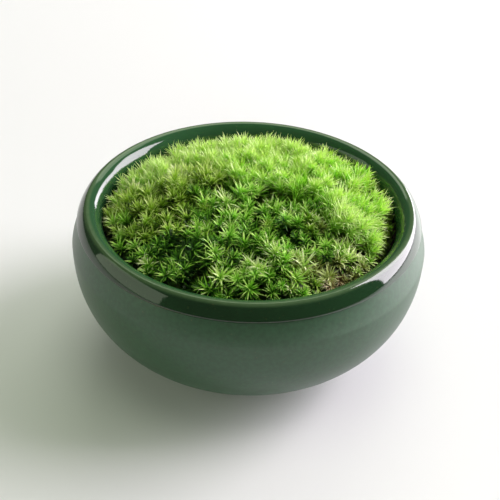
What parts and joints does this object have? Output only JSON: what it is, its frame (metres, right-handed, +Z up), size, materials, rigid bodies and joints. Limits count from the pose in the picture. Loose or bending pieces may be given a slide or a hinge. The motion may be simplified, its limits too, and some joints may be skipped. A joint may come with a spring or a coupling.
{
  "type": "moss terrarium",
  "caption": "Low glazed bowl with a full round belly and a rounded rim, filled with soil and planted with a domed mat of cushion moss.",
  "frame": {"origin": "middle of the foot, on the surface that the bowl stands on", "axes": "+Z is up, along the bowl's turning axis. -Y is the side that the picture shows nearest, and +X is at its right."},
  "size_m": [0.11, 0.11, 0.0606],
  "materials": {
    "glaze": "gloss",
    "soil": "matte",
    "moss_bright": "matte",
    "moss_deep": "matte",
    "moss_olive": "matte",
    "moss_dry": "matte"
  },
  "bodies": {
    "root": {"bowl": "glaze", "soil": "soil", "moss_clump_01": "moss_bright", "moss_clump_02": "moss_bright", "moss_clump_03": "moss_bright", "moss_clump_04": "moss_bright", "moss_clump_05": "moss_dry", "moss_clump_06": "moss_deep", "moss_clump_07": "moss_deep", "moss_clump_08": "moss_deep", "moss_clump_09": "moss_olive", "moss_clump_10": "moss_bright", "moss_clump_11": "moss_bright", "moss_clump_12": "moss_olive", "moss_clump_13": "moss_bright", "moss_clump_14": "moss_bright", "moss_clump_15": "moss_deep", "moss_clump_16": "moss_deep"}
  },
  "joints": []
}
